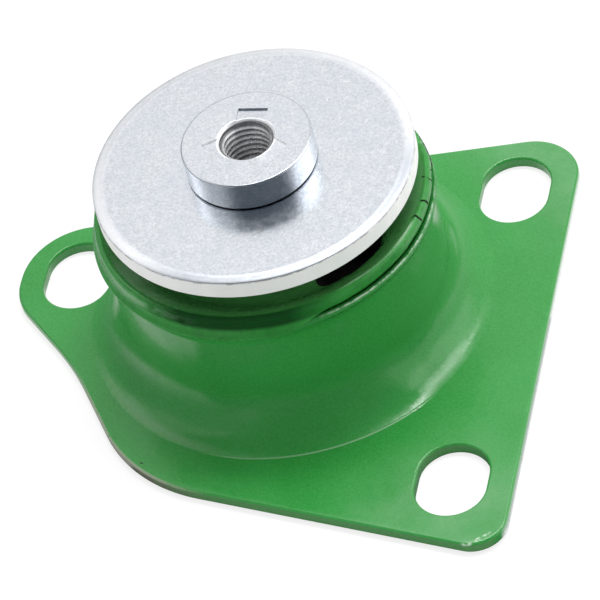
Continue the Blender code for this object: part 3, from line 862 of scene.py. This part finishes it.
class Finish(Graph):
    """A material whose colour is laid on in layers."""

    SOCKETS = {"colour": "Base Color", "rough": "Roughness", "normal": "Normal",
               "gloss": "Specular IOR Level", "metal": "Metallic"}

    def __init__(self, name, **values):
        self.material = bpy.data.materials.new(name)
        self.material.use_nodes = True
        super().__init__(self.material.node_tree)
        self.shader = self.tree.nodes["Principled BSDF"]
        coordinates = self.add("ShaderNodeTexCoord").outputs
        self.place = coordinates["Object"]
        self.normal = coordinates["Normal"]
        self.colour = None
        self.set(**values)

    def set(self, **values):
        for key, value in values.items():
            self.join(value, self.shader.inputs[self.SOCKETS[key]])
        return self.material

    def mix(self, share, a, b):
        a, b = [tone if hasattr(tone, "is_output") else (*tone, 1) for tone in (a, b)]
        mixed = self.add("ShaderNodeMix", {"Factor": share, 6: a, 7: b}, data_type="RGBA")
        return mixed.outputs[2]

    def layer(self, mask, tone, share=1.0):
        """Lays a tone over the colour where the mask is 1."""
        if share != 1.0:
            mask = self.times(mask, share)
        self.colour = self.mix(mask, self.colour, tone)

    def noise(self, scale, detail, rough=0.5, squeeze=None):
        place = self.place
        if squeeze:
            place = self.add("ShaderNodeMapping", {"Vector": place, "Scale": squeeze}).outputs[0]
        texture = {"Vector": place, "Scale": scale, "Detail": detail, "Roughness": rough}
        return self.add("ShaderNodeTexNoise", texture).outputs["Fac"]

    def patches(self, scale, detail, low, high, rough=0.5, to=(0.0, 1.0)):
        return self.span(self.noise(scale, detail, rough), low, high, *to)

    def vector(self, operation, a, b=0.0):
        second = 3 if operation == "SCALE" else 1
        node = self.add("ShaderNodeVectorMath", {0: a, second: b}, operation=operation)
        return node.outputs["Value" if operation in ("LENGTH", "DOT_PRODUCT") else "Vector"]

    def parts(self, source):
        return self.add("ShaderNodeSeparateXYZ", {0: source}).outputs

    def where(self):
        """Height, radius and azimuth in degrees round the mount's axis, and the normal's z."""
        from_axis = self.vector("SUBTRACT", self.place, AXIS)
        radius = self.vector("LENGTH", self.vector("MULTIPLY", from_axis, (1, 1, 0)))
        across = self.parts(from_axis)
        turn = self.times(self.math("ARCTAN2", across["Y"], across["X"]), math.degrees(1))
        return self.parts(self.place)["Z"], radius, turn, self.parts(self.normal)["Z"]

    def stroke(self, points, width, ragged=0.0002, scale=1800):
        """1 on a line through the points, falling to 0 at its width, with a ragged edge."""
        jitter = self.add("ShaderNodeTexNoise", {"Vector": self.place, "Scale": scale})
        moved = self.vector("SUBTRACT", jitter.outputs["Color"], (0.5, 0.5, 0.5))
        moved = self.vector("ADD", self.place, self.vector("SCALE", moved, ragged * 2))
        lengths = []
        for a, b in zip(points, points[1:]):
            span = b - a
            away = self.vector("SUBTRACT", moved, a)
            share = self.math("DIVIDE", self.vector("DOT_PRODUCT", away, span),
                              span.length_squared)
            line = self.vector("SCALE", span, self.span(share, 0.0, 1.0))
            lengths.append(self.vector("LENGTH", self.vector("SUBTRACT", away, line)))
        return self.fall(self.chain("MINIMUM", lengths), width * 0.35, width)

    def specks(self, scale, size, share, seed):
        """Dots of one size strewn over a share of the cells of a grid."""
        shift = self.vector("ADD", self.place, (seed, seed, seed))
        cells = self.add("ShaderNodeTexVoronoi", {"Vector": shift, "Scale": scale}).outputs
        chosen = self.math("LESS_THAN", self.parts(cells["Color"])[0], share)
        return self.times(self.fall(cells["Distance"], size * scale * 0.5, size * scale), chosen)

    def bump(self, height, distance, before=None, strength=1.0):
        relief = {"Height": height, "Distance": distance, "Strength": strength}
        if before is not None:
            relief["Normal"] = before
        return self.add("ShaderNodeBump", relief).outputs["Normal"]


def green_paint():
    n = Finish("green_gloss_paint", gloss=0.5)
    z, radius, turn, up = n.where()
    x = n.parts(n.place)["X"]
    n.colour = n.mix(n.patches(55, 2, 0.35, 0.65), (0.022, 0.245, 0.036), (0.028, 0.272, 0.046))
    n.layer(n.patches(2300, 2, 0.36, 0.64), (0.070, 0.380, 0.095), 0.26)
    # Painted highlight: a pale sheen on the flat sheet towards its two right corners
    painted_sheen = n.times(n.span(up, 0.90, 0.97), n.fall(z, SHEET * 1.5, SHEET * 2),
                    n.span(radius, 0.042, 0.056), n.patches(90, 4, 0.15, 0.60, rough=0.6),
                    n.most(n.window(turn, -75, -55, -44, -34), n.window(turn, 8, 30, 65, 85)))
    n.layer(painted_sheen, (0.36, 0.50, 0.37), 0.22)
    # Painted shade: the paint darker towards the rim
    n.layer(n.span(z, 0.0255, 0.0268), (0.010, 0.120, 0.018), 0.22)
    # Dust and small chips
    n.layer(n.specks(210, 0.00011, 0.10, 1.3), (0.010, 0.040, 0.012))
    n.layer(n.specks(170, 0.00013, 0.08, 4.1), (0.30, 0.50, 0.30))
    for reach, degrees, height in CHIPS:
        spot = on_axis(reach / 1000, degrees, height)
        chip = n.stroke([spot, spot + Vector((0.0002, -0.0001, 0))], 0.00024)
        n.layer(chip, (0.006, 0.012, 0.006))
    # Side faces of the sheet greyer along the front and rubbed along the front left
    low = n.fall(z, SHEET * 0.9, SHEET * 1.3)
    edge = n.times(n.window(up, -0.75, -0.45, 0.25, 0.75), low)
    duller = n.times(edge, n.window(turn, -150, -130, -45, -20), n.fall(x, 0.050, 0.051))
    n.layer(duller, (0.22, 0.27, 0.18), 0.30)
    rubbed = n.times(n.window(up, -0.75, -0.45, 0.88, 0.97), low,
                     n.window(turn, -160, -142, -112, -98), n.patches(700, 4, 0.26, 0.46, 0.6))
    worn = n.mix(n.span(up, 0.15, 0.55), (0.16, 0.14, 0.115), (0.36, 0.38, 0.30))
    n.layer(rubbed, worn, 0.85)
    # Painted reflection: the right side face pale, palest low down
    painted_glare = n.mix(n.fall(z, 0.0009, 0.0015), (0.40, 0.56, 0.41), (0.88, 0.90, 0.89))
    n.layer(n.times(edge, n.span(x, 0.0515, 0.0521), n.patches(500, 3, 0.20, 0.32)), painted_glare)
    # Painted highlight: a broken bright line along the upper edge at the front right corner
    corner = [Vector((*point, SHEET - 0.0001)) for point in HIGHLIGHT_EDGE]
    edge_highlight = n.times(n.stroke(corner, 0.00045, 0.00025), n.patches(900, 3, 0.40, 0.52))
    n.layer(edge_highlight, (0.72, 0.86, 0.72), 0.6)
    # Painted highlight: broken bright line on the rim's upper corner, right of the seam's dark line
    rim_highlight = n.times(n.span(z, 0.0272, 0.0276), n.window(turn, -66, -50, -2, 12),
                       n.window(radius, 0.03145, 0.03156, 0.03172, 0.03190),
                       n.patches(650, 4, 0.40, 0.54, 0.6))
    n.layer(rim_highlight, (0.66, 0.82, 0.66), 0.62)
    # Painted highlight: a thin light line along the rim's outer corner
    outer = n.times(n.span(radius, 0.0322, 0.0325), n.window(z, 0.0269, 0.0271, 0.0274, 0.0277),
                    n.window(turn, -150, -125, -45, -25))
    n.layer(outer, (0.35, 0.58, 0.36), 0.25)
    # Black rubber showing along the torn stretch of the rim
    torn = n.stroke([on_axis(0.0316, d, 0.0288) for d in (19, 26, 33, 42)], 0.0006, 0.0004, 900)
    n.layer(torn, (0.006, 0.007, 0.006))
    # Painted highlight: a light line where the fillet meets the flange
    toe = n.times(n.window(radius, TOE_RADIUS - 0.00028, TOE_RADIUS - 0.00008,
                           TOE_RADIUS + 0.00002, TOE_RADIUS + 0.00026),
                  n.fall(z, 0.003, 0.004), n.window(turn, -108, -96, -44, -34),
                  n.span(up, 0.3, 0.6), n.span(turn, -100, -58, 0.6, 1.0))
    n.layer(toe, (0.50, 0.70, 0.50), 0.42)
    rough = n.plus(n.patches(240, 3, 0.3, 0.7, to=(0.17, 0.27)), n.times(rubbed, 0.25))
    # Orange peel, slow waves, the toe, and the thick lumpy paint on the rim's face
    bump = n.bump(n.noise(900, 2), 0.000022)
    bump = n.bump(n.noise(95, 2), 0.00018, bump, 0.5)
    bump = n.bump(toe, 0.00008, bump)
    ridge = n.times(n.span(z, 0.0273, 0.0277), n.window(turn, -68, -54, 20, 40),
                    n.window(radius, 0.03140, 0.03172, 0.03190, 0.03300),
                    n.patches(520, 3, 0.30, 0.55, to=(0.55, 1.0)))
    bump = n.bump(ridge, 0.00022, bump)
    lumps = n.times(n.noise(1500, 3), n.span(z, 0.0273, 0.0278))
    return n.set(colour=n.colour, rough=rough, normal=n.bump(lumps, 0.00010, bump))


def rubber_paint():
    n = Finish("green_paint_on_rubber")
    z, radius, turn, up = n.where()
    n.colour = n.mix(n.patches(80, 3, 0.35, 0.65), (0.022, 0.245, 0.032), (0.032, 0.300, 0.046))
    n.layer(n.patches(600, 4, 0.45, 0.65, 0.6), (0.012, 0.120, 0.018), 0.30)
    # Painted shade: dark paint in the hollow under the crest at the front
    thin = n.times(n.span(z, 0.0287, 0.0293), n.window(turn, -126, -108, -70, -50),
                   n.span(radius, 0.0303, 0.0309))
    n.layer(thin, (0.005, 0.040, 0.009), 0.90)
    # Painted light: lighter paint on the slope, which the disc shades
    inner = n.times(n.fall(turn, 40, 60), n.fall(radius, 0.0298, 0.0308))
    n.layer(inner, (0.130, 0.480, 0.130), 0.75)
    # Painted highlight: broken bright lines along the crest
    patch = n.plus(n.window(turn, -27, -22, -15, -12.5),
                   n.times(n.window(turn, -52, -47, -43, -37), 0.5),
                   n.times(n.window(turn, -47, -44, -25, -22), 0.22))
    crest_highlight = n.times(patch, n.window(radius, 0.03022, 0.03040, 0.03060, 0.03080),
                       n.span(z, 0.0310, 0.0313), n.patches(500, 3, 0.30, 0.45))
    n.layer(crest_highlight, (0.62, 0.80, 0.62), 0.55)
    # Bare rubber: the torn stretch, the cracks and the seam
    torn = [on_axis(0.0312, d, 0.0299) for d in (18, 25, 33, 42)]
    bare = n.most(n.stroke(torn, 0.0009, 0.0005, 900),
                  n.stroke([on_axis(0.0312, d, 0.0303) for d in (18, 21)], 0.0011, 0.0005, 900))
    for points, width in CRACKS:
        line = [on_axis(r / 1000, d, h / 1000) for r, d, h in points]
        bare = n.most(bare, n.stroke(line, width, 0.00010))
    seam = n.times(n.window(z, 0.0284, 0.0287, 0.0291, 0.0294), n.span(radius, 0.0300, 0.0304),
                   n.window(turn, -50, -34, 70, 100), 0.85)
    # Unpainted rubber: pocket walls, underside and the middle, where little spray reached
    walls = n.times(n.fall(up, 0.10, 0.55), n.fall(radius, 0.0275, 0.0285))
    spray = n.plus(radius, n.times(n.noise(350, 4, 0.6), 0.004))
    bare = n.most(bare, seam, walls, n.fall(z, 0.0225, 0.0250), n.fall(spray, 0.0195, 0.0230))
    n.layer(bare, (0.0045, 0.0050, 0.0045))
    rough = n.plus(n.patches(240, 3, 0.3, 0.7, to=(0.20, 0.32)), n.times(bare, 0.35))
    bump = n.bump(n.noise(1500, 3), 0.00002, n.bump(n.noise(420, 3), 0.00005))
    dull = n.most(bare, n.times(thin, 0.93), n.times(inner, 0.6))
    return n.set(colour=n.colour, rough=rough, normal=bump,
                 gloss=n.span(dull, 0.0, 1.0, 0.45, 0.06))


def zinc():
    n = Finish("zinc_plating_worn")
    z, radius, turn, up = n.where()
    n.colour = n.mix(n.patches(2200, 3, 0.34, 0.66, 0.6), (0.60, 0.635, 0.68), (0.80, 0.82, 0.85))
    n.layer(n.patches(210, 4, 0.35, 0.65, 0.6), (0.60, 0.64, 0.72), 0.30)
    # Handling marks: short bright scratches, dull grey specks and bright specks
    for height, marks in ((DISC_TOP, DISC_SCRATCHES), (BUSH_TOP, BUSH_SCRATCHES)):
        for reach, degrees, length, lean in marks:
            spot = on_axis(reach / 1000, degrees, height)
            line = polar(length / 1000, math.radians(lean)).to_3d()
            n.layer(n.stroke([spot, spot + line], 0.00013, 0.00012), (0.97, 0.97, 0.97), 0.8)
    n.layer(n.specks(260, 0.00014, 0.16, 2.2), (0.42, 0.46, 0.53))
    n.layer(n.specks(240, 0.00016, 0.22, 7.7), (0.95, 0.95, 0.96))
    # Painted dark reflection round the boss's top edge, and a thin dark line under the disc's band
    inwards = [BUSH_HEAD_RADIUS - gap for gap in (0.00042, 0.00030, 0.00018, 0.00006)]
    line = n.times(n.window(radius, *inwards), n.span(z, BUSH_TOP - 0.0004, BUSH_TOP - 0.0003))
    n.layer(line, (0.25, 0.27, 0.29), 0.35)
    corner = DISC_TOP - (BAND_WIDTH - 0.0003) * math.tan(BAND_SLOPE)
    downwards = [corner - gap for gap in (0.00036, 0.00026, 0.00018, 0.00008)]
    under = n.times(n.window(z, *downwards), n.span(radius, 0.0295, 0.0297),
                    n.patches(330, 4, 0.42, 0.58, 0.7), 0.75)
    n.layer(under, (0.09, 0.085, 0.08))
    # Disc's cut side and hole's mouth are dull; front stake dents pale, as painted highlights
    side = n.times(n.span(radius, 0.0296, 0.0298), n.fall(up, 0.45, 0.75),
                   n.span(z, DISC_BOTTOM - 0.001, DISC_BOTTOM))
    streaks = n.span(n.noise(300, 3, 0.5, (1, 1, 0.15)), 0.35, 0.65)
    dull = n.mix(streaks, (0.93, 0.94, 0.92), (0.98, 0.98, 0.97))
    dull = n.mix(under, dull, (0.10, 0.09, 0.08))
    mouth = n.times(n.fall(radius, MOUTH_RADIUS, MOUTH_RADIUS + 0.0001),
                    n.span(z, BUSH_TOP - 0.0012, BUSH_TOP - 0.0010), 0.55)
    dent_highlights = n.times(n.fall(up, 0.5, 0.8), n.span(z, BUSH_TOP - 0.0007, BUSH_TOP - 0.0006),
                    n.window(radius, MOUTH_RADIUS, MOUTH_RADIUS + 0.0001, 0.0080, 0.0083),
                    n.math("LESS_THAN", n.parts(n.place)["Y"], AXIS.y + 0.004))
    matt_and_highlights = n.most(side, mouth, dent_highlights)
    n.layer(matt_and_highlights, dull)
    # Band and corner at the disc's edge: painted shade in front, painted highlight pale behind
    start = DISC_RADIUS - BAND_WIDTH
    band = n.times(n.span(radius, start - 0.0008, start + 0.0005), n.span(up, 0.6, 0.8),
                   n.span(z, DISC_BOTTOM, DISC_BOTTOM + 0.001),
                   n.fall(z, BUSH_TOP - 0.0004, BUSH_TOP - 0.0003))
    darkened_front = n.window(turn, -128, -104, 0, 25)
    n.layer(band, n.mix(darkened_front, (0.79, 0.80, 0.82), (0.38, 0.40, 0.43)), 0.85)
    rough = n.plus(n.patches(700, 4, 0.3, 0.7, 0.6, (0.18, 0.27)),
                   n.times(n.most(matt_and_highlights, n.times(band, 0.7)), 0.3))
    return n.set(colour=n.colour, rough=rough, normal=n.bump(n.noise(1400, 3), 0.000012),
                 metal=n.span(matt_and_highlights, 0.0, 1.0, 1.0, 0.15))


def thread_steel():
    n = Finish("thread_flanks", metal=0.5)
    radius = n.where()[1]
    # Painted light: crests pale, roots dark
    crest = n.fall(radius, THREAD_MINOR + 0.00012, THREAD_MINOR + 0.00040)
    return n.set(colour=n.mix(crest, (0.26, 0.26, 0.27), (0.97, 0.97, 0.98)),
                 rough=n.patches(900, 3, 0.3, 0.7, to=(0.20, 0.32)),
                 normal=n.bump(n.noise(2500, 2), 0.00001))


def dark_steel():
    n = Finish("machined_core_steel", metal=1.0)
    rings = n.noise(40, 2, 0.5, (1, 1, 60))
    return n.set(colour=n.mix(n.span(rings, 0.3, 0.7), (0.16, 0.16, 0.17), (0.28, 0.28, 0.29)),
                 rough=n.patches(300, 3, 0.3, 0.7, to=(0.35, 0.55)),
                 normal=n.bump(rings, 0.00003, strength=0.6))


# The pieces, dressed and put on their bodies
def put_on(obj, material):
    obj.data.materials.clear()
    obj.data.materials.append(material)


housing = build_housing()
disc = build_disc()
bush = build_bush()
thread = build_thread()
runs, inner, top_at = rubber_profiles()
bead = build_bead(runs)
web = build_web(inner, top_at)

paint = green_paint()
rubber = rubber_paint()
plating = zinc()
steel = dark_steel()
flanks = thread_steel()

put_on(housing, paint)
put_on(bead, rubber)
put_on(disc, plating)
put_on(bush, plating)
put_on(thread, flanks)
for part, middle in web:
    put_on(part, rubber)
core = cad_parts["inner_core"]
for slot in core.material_slots:
    slot.material = steel

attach(housing, "housing")
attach(bead, "housing")
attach(disc, "insert")
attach(bush, "insert")
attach(thread, "insert")
for part, middle in web:
    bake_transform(part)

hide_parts("housing")
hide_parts("top_disc")
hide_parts("threaded_bush")
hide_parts("threaded_bush")
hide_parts("rubber_spring")
for part, middle in web:
    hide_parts("rubber_spring")


# Floor, surroundings, lamps and camera
def white_floor():
    """White to the camera and in reflections, with the object's shadow kept on it."""
    n = Finish("white_floor")
    bare = n.add("ShaderNodeBsdfDiffuse", {"Color": (0.82, 0.82, 0.82, 1)})
    soft = n.add("ShaderNodeBsdfDiffuse", {"Color": (0.26, 0.26, 0.26, 1)})
    glow = n.add("ShaderNodeEmission", {"Strength": 0.76})
    lit = n.add("ShaderNodeAddShader", {0: soft.outputs[0], 1: glow.outputs[0]})
    choice = n.add("ShaderNodeMixShader", {0: n.seen(), 1: bare.outputs[0], 2: lit.outputs[0]})
    n.join(choice.outputs[0], n.tree.nodes["Material Output"].inputs["Surface"])
    n.tree.nodes.remove(n.shader)
    return n.material


floor = link("floor", bpy.data.meshes.new("floor"))
floor.data.from_pydata([(-3, -3, 0), (3, -3, 0), (3, 3, 0), (-3, 3, 0)], [], [(0, 1, 2, 3)])
floor.location.z = -0.00005
floor.data.materials.append(white_floor())

world = bpy.data.worlds.new("studio")
scene.world = world
world.use_nodes = True
sky = Graph(world.node_tree)
background = sky.tree.nodes["Background"]
background.inputs["Color"].default_value = (1, 1, 1, 1)
sky.join(sky.span(sky.seen(), 0.0, 1.0, DIFFUSE_SKY, 1.0), background.inputs["Strength"])


def around(turn, elevation, distance):
    """Point seen from the mount's axis in a direction given in degrees."""
    lift = math.radians(elevation)
    return on_axis(distance * math.cos(lift), turn, distance * math.sin(lift))


def lamp(name, where, size, watts):
    data = bpy.data.lights.new(name, "AREA")
    data.shape = "RECTANGLE"
    data.size, data.size_y = size
    data.energy = watts
    made = link(name, data)
    made.location = where
    made.rotation_euler = (CENTRE - where).to_track_quat("-Z", "Y").to_euler()
    return made


CENTRE = AXIS + Vector((0, 0, 0.02))
key = lamp("key_softbox", around(85, 62, 0.85), (0.50, 0.40), 2.05)
key.visible_glossy = False
lamp("top_strip", around(86, 71, 0.85), (0.44, 0.10), 2.1)
lamp("right_strip", around(52, 58, 0.70), (0.30, 0.09), 0.72)
lamp("right_fill", around(25, 38, 0.80), (0.56, 0.50), 1.1)
lamp("left_softbox", around(168, 44, 0.75), (0.26, 0.28), 0.22)


def card(name, edges, finish):
    """Card through pairs of points that only the gloss of the object sees."""
    points = [point for edge in edges for point in edge]
    faces = [(k, k + 1, k + 3, k + 2) for k in range(0, len(points) - 2, 2)]
    made = link(name, bpy.data.meshes.new(name))
    made.data.from_pydata(points, [], faces)
    made.visible_camera = False
    made.visible_shadow = False
    made.visible_diffuse = False
    made.data.materials.append(finish.material)


def fan(first, step, count, inner):
    """Edges of a card that lies on the floor round the mount's axis."""
    turns = [first + step * k for k in range(count)]
    return [[on_axis(reach, turn, CARD_LIFT) for reach in (inner, CARD_REACH)] for turn in turns]


black = Finish("black_card", colour=(0.12, 0.145, 0.17, 1), rough=0.9)
grey = Finish("grey_card", colour=(0.50, 0.52, 0.54, 1), rough=0.9)
across = polar(0.75, math.radians(23)).to_3d()
arch = [around(-67, -8 + 10 * k, 1.0) for k in range(12)]
card("overhead_card", [(middle - across, middle + across) for middle in arch], black)
card("floor_card", fan(-121, 9.2, 14, 0.040), black)
left = [[around(110 + 10 * k, lift, 1.05) for lift in (-4, 30 if k < 10 else 42)]
        for k in range(15)]
card("left_card", left, grey)
card("left_floor_card", fan(140, 9, 12, 0.064), grey)

lens = bpy.data.cameras.new("camera")
lens.lens = 288.86
lens.sensor_width = 36
lens.sensor_fit = "HORIZONTAL"
camera = link("camera", lens)
camera.location = (0.24503, -0.57977, 0.64358)
camera.rotation_euler = [math.radians(a) for a in (43.6405, 11.0450, 10.9259)]
scene.camera = camera
scene.view_settings.view_transform = "Standard"
